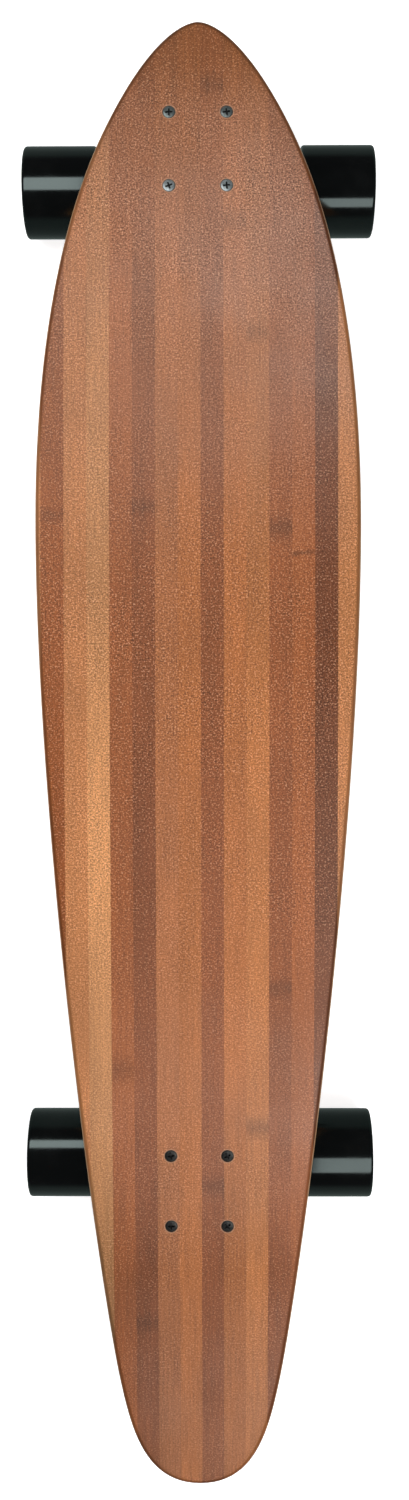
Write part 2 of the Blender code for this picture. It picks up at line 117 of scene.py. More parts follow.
CAMBER_ANGLE = TRUCK_SPACING / 2 / CAMBER_RADIUS
DECK_MIDDLE_Y = -(CAMBER_RADIUS - FACE_PLY_ROUND) * (sin(NOSE / CAMBER_RADIUS) + sin(TAIL / CAMBER_RADIUS)) / 2
UNDERSIDE_AT_TRUCK = (WHEEL_RADIUS + AXLE_CENTRE[1] * cos(CAMBER_ANGLE)
                      - AXLE_CENTRE[0] * sin(CAMBER_ANGLE))
ARC_CENTRE_Z = UNDERSIDE_AT_TRUCK - (CAMBER_RADIUS - DECK_THICKNESS) * cos(CAMBER_ANGLE)


def deck_point(place, x, depth):
    """A point of the deck from its place along the arc, its x and its depth below the top face."""
    angle = place / CAMBER_RADIUS
    radius = CAMBER_RADIUS - depth
    return Vector((x, DECK_MIDDLE_Y + radius * sin(angle), ARC_CENTRE_Z + radius * cos(angle)))


def truck_frame(end):
    """A truck's frame on the deck's underside: X across, -Y inboard and -Z down."""
    turn = Matrix.Rotation(0.0 if end > 0 else pi, 4, "Z")
    return (Matrix.Translation(deck_point(end * TRUCK_SPACING / 2, 0.0, DECK_THICKNESS)) @ turn
            @ Matrix.Rotation(-CAMBER_ANGLE, 4, "X"))


def truck_point(inboard, drop):
    """A point on a truck's centre plane, in its frame."""
    return Vector((0.0, -inboard, -drop))


def along(direction, origin):
    """A frame at origin whose Z runs along direction, with its X across the board."""
    z = Vector(direction).normalized()
    x = Vector((1.0, 0.0, 0.0))
    if abs(z.x) > 0.5:
        x = Vector((0.0, 1.0, 0.0))
    y = z.cross(x).normalized()
    matrix = Matrix((x, y, z)).transposed().to_4x4()
    matrix.translation = origin
    return matrix


def along_any(direction, origin):
    """A frame at origin whose Z runs along direction, for round pieces."""
    matrix = Vector(direction).to_track_quat("Z", "Y").to_matrix().to_4x4()
    matrix.translation = origin
    return matrix


def raised(matrix, height):
    """The frame moved along its own Z."""
    return matrix @ Matrix.Translation((0, 0, height))


def declare(piece, body, node=None):
    """Parents a piece to its body, and hides the CAD node it stands for, if there is one."""
    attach(piece, body)
    if node:
        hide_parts(node)


# -------- mesh helpers
def add_mesh(name, bm, matrix=None, material=None, sharp=35):
    mesh = bpy.data.meshes.new(name)
    bmesh.ops.recalc_face_normals(bm, faces=bm.faces)
    bm.to_mesh(mesh)
    bm.free()
    mesh.shade_smooth()
    mesh.set_sharp_from_angle(angle=radians(sharp))
    obj = bpy.data.objects.new(name, mesh)
    bpy.context.scene.collection.objects.link(obj)
    if matrix is not None:
        obj.matrix_world = matrix
    if material:
        mesh.materials.append(material)
    return obj


def apply_modifiers(obj, sharp=35):
    """Applies the modifiers and gives every face the piece's own material."""
    material = obj.data.materials[0] if obj.data.materials else None
    bpy.context.view_layer.update()
    depsgraph = bpy.context.evaluated_depsgraph_get()
    mesh = bpy.data.meshes.new_from_object(obj.evaluated_get(depsgraph))
    obj.modifiers.clear()
    obj.data = mesh
    mesh.materials.clear()
    if material:
        mesh.materials.append(material)
    mesh.polygons.foreach_set("material_index", [0] * len(mesh.polygons))
    mesh.shade_smooth()
    mesh.set_sharp_from_angle(angle=radians(sharp))
    return obj


def carve(obj, cutters, operation="DIFFERENCE", sharp=35):
    """Applies a Boolean with each cutter and removes the cutters."""
    for cutter in cutters:
        modifier = obj.modifiers.new(cutter.name, "BOOLEAN")
        modifier.operation = operation
        modifier.solver = "MANIFOLD"
        modifier.object = cutter
    apply_modifiers(obj, sharp)
    for cutter in cutters:
        bpy.data.objects.remove(cutter, do_unlink=True)
    return obj


def rounded(points, radii, steps=5):
    """A profile with each corner replaced by an arc of its radius in millimetres. A radius of 0 leaves it sharp."""
    out = []
    for i, (point, radius) in enumerate(zip(points, radii)):
        here = Vector(point)
        before, after = Vector(points[i - 1]) - here, Vector(points[(i + 1) % len(points)]) - here
        if not radius or before.length == 0 or after.length == 0:
            out.append(tuple(here))
            continue
        half = before.angle(after) / 2
        reach = min(radius * MM / max(abs(sin(half) / cos(half)), 1e-6), before.length * 0.49, after.length * 0.49)
        start = here + before.normalized() * reach
        end = here + after.normalized() * reach
        for k in range(steps + 1):
            t = k / steps
            out.append(tuple((1 - t) ** 2 * start + 2 * t * (1 - t) * here + t ** 2 * end))
    return out


def add_face(bm, corners):
    """Adds the face between corners, some of which may be the same."""
    unique = [v for k, v in enumerate(corners) if v not in corners[:k]]
    if len(unique) > 2:
        bm.faces.new(unique)


def lathe(name, profile, matrix, material=None, segments=96):
    """Turns (radius, height) points about Z. A profile that starts on the axis ends there, any other is a ring."""
    bm = bmesh.new()
    angles = [2 * pi * i / segments for i in range(segments)]
    rows = []
    for radius, height in profile:
        if radius < ON_AXIS:
            rows.append([bm.verts.new((0.0, 0.0, height))])
        else:
            rows.append([bm.verts.new((radius * cos(angle), radius * sin(angle), height)) for angle in angles])
    closing = [] if profile[0][0] < ON_AXIS else rows[:1]
    for first, second in zip(rows, rows[1:] + closing):
        for i in range(segments):
            j = (i + 1) % segments
            add_face(bm, [first[i % len(first)], first[j % len(first)],
                          second[j % len(second)], second[i % len(second)]])
    return add_mesh(name, bm, matrix, material)


def rod(name, radius, start, end, matrix, segments=48):
    """A plain cylinder about Z between two heights. Its sizes are in millimetres."""
    return lathe(name, mm((0.0, start), (radius, start), (radius, end), (0.0, end)), matrix, segments=segments)


def prism(name, sides, radius, low, high, matrix, material=None):
    """An upright prism about Z. Its sizes are in millimetres."""
    radius, low, high = radius * MM, low * MM, high * MM
    bm = bmesh.new()
    bmesh.ops.create_cone(bm, cap_ends=True, segments=sides, radius1=radius, radius2=radius, depth=high - low,
                          matrix=Matrix.Translation((0, 0, (low + high) / 2)))
    return add_mesh(name, bm, matrix, material)


def box(name, low, high, matrix, material=None, upright=0.0, edge=0.0):
    """A box between two corners, all in millimetres: its edges along Z rounded by upright, then the rest by edge."""
    low, high = (Vector(corner) for corner in mm(low, high))
    size = high - low
    bm = bmesh.new()
    bmesh.ops.create_cube(bm, size=1.0, matrix=Matrix.Translation((high + low) / 2) @ Matrix.Diagonal((*size, 1.0)))
    if upright:
        edges = [e for e in bm.edges if abs(e.verts[0].co.z - e.verts[1].co.z) > size.z / 2]
        bmesh.ops.bevel(bm, geom=edges, offset=upright * MM, segments=8, profile=0.5, affect="EDGES")
    if edge:
        edges = [e for e in bm.edges if e.calc_face_angle(0.0) > radians(50)]
        bmesh.ops.bevel(bm, geom=edges, offset=edge * MM, segments=3, profile=0.5, affect="EDGES")
    return add_mesh(name, bm, matrix, material)


def casting(name, shapes, smoothing):
    """Fuses overlapping closed shapes into one smooth painted casting with filleted joins."""
    bpy.context.view_layer.update()
    bm = bmesh.new()
    for shape in shapes:
        shape.data.transform(shape.matrix_world)
        bm.from_mesh(shape.data)
        bpy.data.objects.remove(shape, do_unlink=True)
    obj = add_mesh(name, bm, None, M["paint"])
    remesh = obj.modifiers.new("fuse", "REMESH")
    remesh.mode = "VOXEL"
    remesh.voxel_size = CASTING_VOXEL
    smooth = obj.modifiers.new("fillet", "SMOOTH")
    smooth.factor = 0.5
    smooth.iterations = smoothing
    return apply_modifiers(obj, 60)


# -------- material helpers
def srgb(red, green, blue):
    """A linear colour from 0 to 255 display values."""
    return tuple((c / 255 / 12.92 if c <= 10 else ((c / 255 + 0.055) / 1.055) ** 2.4) for c in (red, green, blue))


class Nodes:
    """Short calls for building a shader tree."""

    def __init__(self, name):
        self.material = bpy.data.materials.new(name)
        self.material.use_nodes = True
        self.tree = self.material.node_tree
        self.shader = self.tree.nodes["Principled BSDF"]
        self.object = self.node("TexCoord", {})["Object"]

    def link(self, value, socket):
        if isinstance(value, bpy.types.NodeSocket):
            self.tree.links.new(value, socket)
        elif value is not None:
            if isinstance(value, tuple) and len(value) == 3 and len(socket.default_value) == 4:
                value = (*value, 1.0)
            socket.default_value = value

    def node(self, kind, inputs, **settings):
        """The outputs of a new node with these settings and inputs."""
        node = self.tree.nodes.new("ShaderNode" + kind)
        for name, value in settings.items():
            setattr(node, name, value)
        for socket, value in inputs.items():
            self.link(value, node.inputs[socket])
        return node.outputs

    def math(self, operation, *values):
        return self.node("Math", dict(enumerate(values)), operation=operation)[0]

    def plus(self, a, b):
        return self.math("ADD", a, b)

    def minus(self, a, b):
        return self.math("SUBTRACT", a, b)

    def times(self, a, b):
        return self.math("MULTIPLY", a, b)

    def length(self, a, b):
        """The length of a vector with these two parts."""
        return self.math("SQRT", self.plus(self.times(a, a), self.times(b, b)))

    def split(self, vector):
        return self.node("SeparateXYZ", {0: vector})

    def join(self, x, y, z):
        return self.node("CombineXYZ", {0: x, 1: y, 2: z})[0]

    def scaled(self, vector, scale):
        return self.node("VectorMath", {0: vector, 1: scale}, operation="MULTIPLY")[0]

    def shade(self, colour, factor):
        """The colour times a factor."""
        return self.node("VectorMath", {0: colour, "Scale": factor}, operation="SCALE")[0]

    def noise(self, vector, scale, detail=3.0, roughness=0.55):
        inputs = {"Vector": vector, "Scale": scale, "Detail": detail, "Roughness": roughness}
        return self.node("TexNoise", inputs)["Fac"]

    def stretched(self, a, a_scale, b, b_scale, third, detail=3.0, roughness=0.6):
        """Noise with a scale of its own along each of two coordinates."""
        return self.noise(self.join(self.times(a, a_scale), self.times(b, b_scale), third), 1.0, detail, roughness)

    def step(self, value, low, high, to_low=0.0, to_high=1.0, smooth=True):
        inputs = {"Value": value, "From Min": low, "From Max": high, "To Min": to_low, "To Max": to_high}
        return self.node("MapRange", inputs, interpolation_type="SMOOTHSTEP" if smooth else "LINEAR")["Result"]

    def mix(self, factor, a, b, blend="MIX"):
        inputs = {"Factor": factor, "A": a, "B": b}
        return self.node("Mix", inputs, data_type="RGBA", blend_type=blend)["Result"]

    def ramp(self, value, stops, interpolation="LINEAR"):
        node = self.tree.nodes.new("ShaderNodeValToRGB")
        node.color_ramp.interpolation = interpolation
        elements = node.color_ramp.elements
        while len(elements) < len(stops):
            elements.new(1.0)
        for element, (position, colour) in zip(elements, stops):
            element.position = position
            element.color = (*colour, 1.0)
        self.link(value, node.inputs[0])
        return node.outputs["Color"]

    def bump(self, height, strength, distance):
        return self.node("Bump", {"Strength": strength, "Distance": distance, "Height": height})["Normal"]

    def finish(self, colour, roughness, normal, **fixed):
        """Sets the shader's inputs. Fixed values go on the shader's own sockets."""
        inputs = {"Base Color": colour, "Roughness": roughness, "Normal": normal}
        inputs.update((name.replace("_", " "), value) for name, value in fixed.items())
        for name, value in inputs.items():
            self.link(value, self.shader.inputs[name])
        return self.material


# -------- deck materials
TONES = {
    "golden": srgb(197, 136, 85),
    "honey": srgb(190, 123, 73),
    "apricot": srgb(182, 112, 60),
    "amber": srgb(173, 103, 53),
    "caramel": srgb(166, 101, 58),
    "chestnut": srgb(157, 88, 44),
    "russet": srgb(143, 79, 40),
    "umber": srgb(144, 77, 31),
    "walnut": srgb(131, 72, 37),
    "cocoa": srgb(118, 65, 34),
}
# Strips of the face veneer from the left edge to the right, seen from above with the nose up
STRIPS = ["honey", "umber", "honey", "golden", "chestnut", "walnut", "caramel", "amber",
          "russet", "amber", "apricot", "russet", "chestnut", "cocoa", "honey", "caramel"]
STRIP_WIDTH = 16.25 * MM
MIDDLE_SEAM_X = 1.9 * MM
FIRST_STRIP_X = MIDDLE_SEAM_X - len(STRIPS) // 2 * STRIP_WIDTH
# Bamboo joints: dark smudges across one strip, as (x, place along the deck, half length, strength), in millimetres
BAMBOO_JOINTS = [
    (-103, 114, 9, 0.45), (-40, 120, 10, 0.5), (60, 105, 14, 0.6), (74, 87, 3, 0.8), (60, -225, 12, 0.5),
    (-52, -285, 16, 0.5), (40, -329, 13, 0.7), (11, -373, 14, 0.55), (-37, -481, 12, 0.5), (24, 324, 14, 0.5),
    (41, 244, 12, 0.45), (7, 424, 14, 0.45), (92, 200, 40, 0.35), (-72, -500, 170, 0.7), (-55, -455, 60, 0.28),
]


def deck_coordinates(n):
    """x, place along the deck and depth below the top face, from the object's own coordinates."""
    x, y, z = n.split(n.object)
    along_y = n.minus(y, DECK_MIDDLE_Y)
    up = n.minus(z, ARC_CENTRE_Z)
    depth = n.minus(CAMBER_RADIUS, n.length(along_y, up))
    place = n.times(n.math("ARCTAN2", along_y, up), CAMBER_RADIUS)
    return x, place, depth


def bamboo_joints(n, x, place, index):
    """How dark the bamboo's joints are, from 0 to 1, with ragged ends. The index is the strip's."""
    fuzz = n.stretched(x, 160.0, place, 160.0, 2.0)
    smudge = None
    for joint_x, joint_place, half, strength in BAMBOO_JOINTS:
        strip = int((joint_x * MM - FIRST_STRIP_X) // STRIP_WIDTH)
        inside = n.math("COMPARE", index, float(strip), 0.4)
        away = n.math("ABSOLUTE", n.minus(place, joint_place * MM))
        ragged = n.math("MULTIPLY_ADD", fuzz, 10 * MM, away)
        band = n.times(n.step(ragged, (half + 5) * MM, 4 * MM, 0.0, strength), inside)
        smudge = band if smudge is None else n.math("MAXIMUM", smudge, band)
    return smudge


def bamboo_colour(n, x, place):
    """Strips of bamboo with their own tone, slow change along each, grain, and the darker joints."""
    count = len(STRIPS)
    across = n.math("DIVIDE", n.minus(x, FIRST_STRIP_X), STRIP_WIDTH)
    stops = [(i / count, TONES[tone]) for i, tone in enumerate(STRIPS)]
    colour = n.ramp(n.math("DIVIDE", across, count), stops, "CONSTANT")
    fade = n.times(along_ramp(n, place, FADE), n.step(x, 82 * MM, 74 * MM))
    colour = n.mix(fade, colour, TONES["caramel"])
    index = n.math("FLOOR", across)
    slow = n.stretched(index, 7.31, place, 5.0, 0.0, 2.0, 0.5)
    colour = n.shade(colour, n.step(slow, 0.3, 0.7, 0.86, 1.08))
    soft = n.stretched(x, 60.0, place, 9.0, 0.3)
    colour = n.shade(colour, n.step(soft, 0.3, 0.7, 0.90, 1.06))
    fibre = n.stretched(x, 720.0, place, 22.0, index)
    show = along_ramp(n, place, FIBRE)
    colour = n.shade(colour, n.math("MULTIPLY_ADD", n.step(fibre, 0.3, 0.72, 0.09, -0.12), show, 1.0))
    pores = n.stretched(x, 1400.0, place, 60.0, 5.0, 2.0, 0.5)
    colour = n.shade(colour, n.math("MULTIPLY_ADD", n.step(pores, 0.56, 0.74, 0.0, -0.14), show, 1.0))
    from_seam = n.math("PINGPONG", across, 0.5)
    colour = n.shade(colour, n.step(from_seam, 0.0, 0.035, 0.94, 1.0))
    smudge = bamboo_joints(n, x, place, index)
    return n.shade(colour, n.math("MULTIPLY_ADD", smudge, -0.62, 1.0)), fibre


def screw_distance(n, x, place):
    """Distance to the nearest screw's axis, by folding the deck onto one screw."""
    fold_x = n.minus(n.math("ABSOLUTE", x), SCREW_X)
    fold_y = n.math("ABSOLUTE", n.minus(n.math("ABSOLUTE", place), TRUCK_SPACING / 2))
    return n.length(fold_x, n.minus(fold_y, SCREW_Y))


# Values along the deck, as (place in mm, value): how far the strips fade to one tone, how clear the fibres are, how
# much haze of the clear grit and painted sheen lies over the bamboo, how light the bamboo is and how much the grains
# of grit and their painted glints stand out
FADE = [(-615, 0.2), (-526, 0.0), (-120, 0.0), (20, 0.16), (140, 0.16), (230, 0.3), (300, 0.58), (400, 0.66),
        (473, 0.65)]
FIBRE = [(-615, 1.5), (-400, 1.5), (-250, 0.9), (150, 0.9), (340, 1.4), (473, 1.6)]
HAZE_AND_SHEEN = [(-615, 0.14), (-526, 0.16), (-440, 0.04), (-324, 0.17), (-220, 0.06), (-93, 0.04), (20, 0.0), (80, 0.01),
        (195, 0.17), (267, 0.29), (339, 0.23), (405, 0.17), (440, 0.03), (473, 0.0)]
LIGHTNESS = [(-615, 0.94), (-526, 0.93), (-440, 0.90), (-324, 1.04), (-166, 1.08), (-36, 1.01), (60, 0.97),
             (150, 0.98), (267, 0.98), (339, 0.92), (405, 0.83), (440, 0.71), (473, 0.63)]
GRIT = [(-615, 0.5), (-490, 0.65), (-415, 0.75), (-260, 0.68), (-160, 1.08), (-108, 1.15), (29, 1.25), (100, 1.2),
        (209, 0.85), (267, 1.1), (336, 1.35), (405, 1.15), (440, 0.9), (473, 0.8)]


def along_ramp(n, place, points):
    """A value that changes along the deck through points of (place in mm, value)."""
    share = n.math("DIVIDE", n.minus(place, TAIL), NOSE - TAIL)
    length = points[-1][0] - points[0][0]
    stops = [((at - points[0][0]) / length, (value / 2,) * 3) for at, value in points]
    return n.times(n.split(n.ramp(share, stops))[0], 2.0)


def grit_texture(n, x, place):
    """Worm-like grains of clear grit, about 1 mm across."""
    flat = n.join(x, place, 0.0)
    warp = n.node("TexNoise", {"Vector": flat, "Scale": 600.0})["Color"]
    reach = (1.6 * MM, 1.6 * MM, 0.0)
    return n.noise(n.node("VectorMath", {0: warp, 1: reach, 2: flat}, operation="MULTIPLY_ADD")[0], 860.0, 1.5, 0.6)


def make_top_veneer():
    """Bamboo under a coat of clear grit: hazed, partly with painted sheen, speckled with painted glints, darker at the
    rounded rim and bare round the screws.
    """
    n = Nodes("bamboo_top")
    # Tints for the grit's haze with painted sheen, for the painted glints on its grains, and for the bare bamboo round
    # the screws
    haze_and_sheen_tint, painted_glint_tint, bare_tint = srgb(176, 148, 136), srgb(222, 180, 146), srgb(196, 152, 122)
    x, place, _ = deck_coordinates(n)
    colour, fibre = bamboo_colour(n, x, place)
    sanded = n.shade(colour, along_ramp(n, place, LIGHTNESS))
    # Haze of the clear grit and painted sheen: a pale wash, stronger toward both ends of the deck and toward its right
    # edge
    cloud = n.noise(n.join(x, place, 3.0), 11.0, 3.0, 0.6)
    haze = n.times(along_ramp(n, place, HAZE_AND_SHEEN), n.step(cloud, 0.3, 0.7, 0.75, 1.25))
    haze = n.times(haze, n.math("MULTIPLY_ADD", x, 5.0, 1.0))
    colour = n.mix(haze, sanded, haze_and_sheen_tint)
    grit = grit_texture(n, x, place)
    patch = n.noise(n.join(x, place, 0.0), 16.0, 3.0, 0.6)
    amount = n.times(n.step(patch, 0.3, 0.75, 0.6, 1.0), along_ramp(n, place, GRIT))
    grain = n.times(n.step(grit, 0.36, 0.64, -0.48, 0.46, smooth=False), amount)
    colour = n.shade(colour, n.plus(grain, 1.0))
    # Painted glints: a pale tint on the highest grains of grit
    painted_glint = n.times(n.step(grit, 0.57, 0.68), amount)
    colour = n.mix(n.times(painted_glint, 0.45), colour, painted_glint_tint)
    # The rounded rim is where the face slopes
    rim = n.step(n.split(n.node("NewGeometry", {})["Normal"])[2], 0.998, 0.93)
    colour = n.mix(rim, colour, n.shade(sanded, 0.58))
    near = screw_distance(n, x, place)
    colour = n.mix(n.step(near, 5.6 * MM, 5.0 * MM, 0.0, 0.6), colour, bare_tint)
    normal = n.bump(n.plus(grit, n.times(fibre, 0.25)), 0.4, 0.25 * MM)
    roughness = n.step(grit, 0.35, 0.7, 0.45, 0.62)
    return n.finish(colour, roughness, normal, Specular_IOR_Level=0.25)


def make_bottom_veneer():
    """The same bamboo, mirrored, under a clear gloss coat."""
    n = Nodes("bamboo_bottom")
    x, place, _ = deck_coordinates(n)
    colour, fibre = bamboo_colour(n, n.times(x, -1.0), place)
    normal = n.bump(fibre, 0.15, 0.1 * MM)
    roughness = n.step(fibre, 0.3, 0.7, 0.26, 0.38)
    return n.finish(colour, roughness, normal, Coat_Weight=0.4, Coat_Roughness=0.15)


def make_core():
    """The laminate's edge: plies of maple and bamboo with thin glue lines, darkened by the sealer."""
    n = Nodes("laminate_edge")
    x, place, depth = deck_coordinates(n)
    plies = 5
    maple, bamboo, sealer, glue_tint = srgb(196, 150, 104), srgb(162, 108, 68), srgb(170, 136, 108), srgb(78, 46, 28)
    ply = n.math("DIVIDE", n.minus(depth, VENEER), (DECK_THICKNESS - 2 * VENEER) / plies)
    odd = n.math("PINGPONG", n.math("FLOOR", ply), 1.0)
    colour = n.mix(odd, maple, bamboo)
    streak = n.stretched(x, 40.0, place, 40.0, n.times(depth, 2600.0))
    colour = n.mix(n.step(streak, 0.4, 0.7, 0.0, 0.6), colour, n.mix(1.0, colour, sealer, "MULTIPLY"))
    glue = n.math("ABSOLUTE", n.minus(n.math("FRACT", ply), 0.5))
    colour = n.mix(n.step(glue, 0.44, 0.49, 0.0, 0.8), colour, glue_tint)
    normal = n.bump(streak, 0.2, 0.1 * MM)
    return n.finish(colour, n.step(streak, 0.3, 0.7, 0.34, 0.5), normal, Coat_Weight=0.25, Coat_Roughness=0.2)


# -------- other materials
def make_plain(name, colour, low, high, scale, bump=0.1, depth=0.05 * MM):
    """One colour with a fine texture: roughness from low to high and a bump."""
    n = Nodes(name)
    texture = n.noise(n.object, scale)
    cloud = n.noise(n.object, 60.0)
    tint = n.mix(n.step(cloud, 0.3, 0.7), colour, tuple(min(1.0, c * 1.5 + 0.002) for c in colour))
    return n.finish(tint, n.step(texture, 0.3, 0.7, low, high), n.bump(texture, bump, depth))


def make_wheel_urethane():
    """Glossy black urethane with a faint haze of dust and shallow turning marks."""
    n = Nodes("wheel_urethane")
    z = n.split(n.object)[2]
    haze = n.noise(n.object, 45.0, 4.0, 0.6)
    turning = n.noise(n.join(n.times(z, 900.0), 0.0, 0.0), 1.0, 2.0)
    colour = n.mix(n.step(haze, 0.45, 0.75), srgb(4, 4, 4), srgb(9, 9, 9))
    roughness = n.plus(n.step(haze, 0.4, 0.8, 0.11, 0.17), n.step(turning, 0.4, 0.7, 0.0, 0.03))
    return n.finish(colour, roughness, n.bump(turning, 0.04, 0.03 * MM), Specular_IOR_Level=0.45,
                    Specular_Tint=(0.82, 1.0, 0.97))


def make_bearing():
    """Steel rings with a black rubber seal between them."""
    n = Nodes("bearing")
    x, y, _ = n.split(n.object)
    radius = n.length(x, y)
    inside, outside = (value * MM for value in SEAL_RADII)
    seal = n.times(n.math("GREATER_THAN", radius, inside), n.math("LESS_THAN", radius, outside))
    fine = n.noise(n.scaled(n.object, (300.0, 300.0, 300.0)), 1.0)
    colour = n.mix(seal, srgb(176, 176, 180), srgb(24, 24, 26))
    rough = n.plus(n.step(fine, 0.3, 0.7, 0.18, 0.3), n.times(seal, 0.3))
    return n.finish(colour, rough, n.bump(fine, 0.05, 0.02 * MM), Metallic=n.minus(1.0, seal))


def make_steel(name, colour, low, high):
    """Plated steel: cloudy roughness and fine scratches."""
    n = Nodes(name)
    cloud = n.noise(n.object, 180.0, 4.0)
    scratch = n.noise(n.scaled(n.object, (300.0, 300.0, 3200.0)), 1.0)
    tint = n.mix(n.step(cloud, 0.35, 0.7), colour, tuple(c * 0.72 for c in colour))
    roughness = n.plus(n.step(cloud, 0.3, 0.7, low, high), n.step(scratch, 0.5, 0.7, 0.0, 0.06))
    return n.finish(tint, roughness, n.bump(scratch, 0.08, 0.02 * MM), Metallic=1.0)


def make_screw(name, light, dark):
    """Black oxide in the greys it is given, worn more or less on the head, and dirt and painted shade in the cross
    recess below its face. The lighter greys given to some heads are painted reflection.
    """
    n = Nodes(name)
    z = n.split(n.object)[2]
    cloud = n.noise(n.object, 420.0, 4.0)
    colour = n.mix(n.step(cloud, 0.35, 0.7), light, dark)
    # Dirt and painted shade darken the cross recess below the head's face
    recess = n.step(z, -0.18 * MM, -0.34 * MM)
    colour = n.mix(recess, colour, srgb(6, 6, 6))
    metal = n.times(n.minus(1.0, recess), 0.75)
    return n.finish(colour, n.step(cloud, 0.3, 0.7, 0.42, 0.55), n.bump(cloud, 0.1, 0.05 * MM), Metallic=metal)


def make_truck_paint():
    """Black powder coat: satin with a fine orange peel, thinner and greyer on sharp edges."""
    n = Nodes("truck_paint")
    peel = n.noise(n.object, 900.0, 2.0)
    cloud = n.noise(n.object, 40.0, 3.0)
    edge = n.step(n.node("NewGeometry", {})["Pointiness"], 0.53, 0.60)
    wear = n.times(edge, n.step(cloud, 0.45, 0.65, 0.1, 0.6))
    colour = n.mix(n.step(cloud, 0.3, 0.7), srgb(20, 20, 21), srgb(29, 29, 31))
    colour = n.mix(wear, colour, srgb(86, 86, 88))
    roughness = n.step(peel, 0.3, 0.7, 0.30, 0.42)
    return n.finish(colour, roughness, n.bump(peel, 0.12, 0.05 * MM), Specular_IOR_Level=0.5)


M = {
    "top": make_top_veneer(),
    "bottom": make_bottom_veneer(),
    "core": make_core(),
    "wheel": make_wheel_urethane(),
    "hub": make_plain("hub_plastic", srgb(22, 22, 24), 0.38, 0.5, 700.0),
    "bearing": make_bearing(),
    "zinc": make_steel("plated_steel", srgb(188, 188, 190), 0.22, 0.38),
    "axle": make_steel("axle_steel", srgb(160, 160, 164), 0.2, 0.34),
    # The front screws' pale and grey heads are painted reflection on black oxide; the rear screws' black is the oxide's
    # own
    "pale_screw": make_screw("screw_painted_bright_reflection", srgb(158, 166, 166), srgb(124, 131, 131)),
    "grey_screw": make_screw("screw_painted_dim_reflection", srgb(116, 124, 122), srgb(84, 91, 90)),
    "black_screw": make_screw("black_screw", srgb(56, 56, 54), srgb(38, 38, 37)),
    "paint": make_truck_paint(),
    "riser": make_plain("riser_rubber", srgb(22, 22, 22), 0.6, 0.8, 900.0, 0.25, 0.1 * MM),
    "cup": make_plain("pivot_urethane", srgb(30, 30, 31), 0.45, 0.6, 600.0),
    "bushing": make_plain("bushing_urethane", srgb(34, 34, 36), 0.3, 0.44, 500.0, 0.06),
    "nylon": make_plain("nylon_insert", srgb(52, 56, 64), 0.35, 0.5, 800.0),
}


# -------- deck
def outline():
    """Places and half widths from nose to tail, with the outline's outward normal at each."""
    points = []
    for start, end, steps in zip(OUTLINE, OUTLINE[1:], OUTLINE_STEPS):
        first, second = Vector(start[:2]), Vector(end[:2])
        leave = first + start[4] * Vector((-cos(start[2]), sin(start[2])))
        arrive = second - end[3] * Vector((-cos(end[2]), sin(end[2])))
        points += interpolate_bezier(first, leave, arrive, second, steps + 1)[:-1]
    points.append(Vector(OUTLINE[-1][:2]))
    points = [Vector((p[0], p[1])) for p in points]
    normals = []
    for i in range(len(points)):
        if i in (0, len(points) - 1):
            normals.append(Vector((1.0 if i == 0 else -1.0, 0.0)))
            continue
        tangent = (points[i + 1] - points[i - 1]).normalized()
        normals.append(Vector((tangent.y, -tangent.x)))
    return points, normals


def inset(depth):
    """How far the rounded edge lies inside the outline at a depth."""
    near = min(depth, DECK_THICKNESS - depth)
    if near >= EDGE_ROUND:
        return 0.0
    return EDGE_ROUND - sqrt(max(0.0, EDGE_ROUND ** 2 - (EDGE_ROUND - near) ** 2))


def deck_layer(name, start, end, rings, material):
    """One layer of the deck between two depths. Its side follows the rounded edge."""
    points, normals = outline()
    last = len(points) - 1
    columns = 10
    bm = bmesh.new()

    def edge_at(depth):
        return [point - normal * inset(depth) for point, normal in zip(points, normals)]

    def ring_verts(depth):
        edge = edge_at(depth)
        right = [deck_point(place, half, depth) for place, half in edge]
        left = [deck_point(place, -half, depth) for place, half in edge[last - 1:0:-1]]
        return [bm.verts.new(co) for co in right + left]

    loops = [ring_verts(start + (end - start) * k / rings) for k in range(rings + 1)]
    count = len(loops[0])
    for upper, lower in zip(loops, loops[1:]):
        for i in range(count):
            j = (i + 1) % count
            bm.faces.new((upper[i], upper[j], lower[j], lower[i]))
    for loop, depth in ((loops[0], start), (loops[-1], end)):
        rows = [[loop[0]]]
        edge = edge_at(depth)
        for i in range(1, last):
            place, half = edge[i]
            inner = [bm.verts.new(deck_point(place, half * (1 - 2 * c / columns), depth)) for c in range(1, columns)]
            rows.append([loop[i]] + inner + [loop[count - i]])
        rows.append([loop[last]])
        for first, second in zip(rows, rows[1:]):
            for c in range(columns):
                add_face(bm, [first[min(c, len(first) - 1)], first[min(c + 1, len(first) - 1)],
                              second[min(c + 1, len(second) - 1)], second[min(c, len(second) - 1)]])
    return add_mesh(name, bm, None, material, 50)


def screw_places():
    """(label, number, frame at the deck's top) of the eight screws."""
    for label, end in (("front", 1), ("rear", -1)):
        number = 0
        for y_side in (1, -1):
            for x_side in (-1, 1):
                number += 1
                at = truck_frame(end) @ Matrix.Translation((x_side * SCREW_X, y_side * SCREW_Y, DECK_THICKNESS))
                yield label, number, at


def build_deck():
    """Three layers with a countersunk hole for each screw."""
    sink = mm((0.0, 2), (4.85, 2), (4.85, -0.25), (2.75, -3.0), (2.75, -14), (0.0, -14))
    core_end = DECK_THICKNESS - VENEER
    for name, start, end, rings, material, slot, node in (
            ("deck_top_veneer", 0.0, VENEER - LAYER_GAP, 5, "top", "deck_veneer", "deck_top_ply"),
            ("deck_laminate", VENEER, core_end, 10, "core", "deck_core", "deck_core"),
            ("deck_bottom_veneer", core_end + LAYER_GAP, DECK_THICKNESS, 5, "bottom", "deck_veneer_bottom",
             "deck_bottom_ply")):
        layer = deck_layer(name, start, end, rings, M[material])
        carve(layer, [lathe("sink", sink, at, segments=48) for _, _, at in screw_places()], sharp=50)
        declare(layer, "board", node)


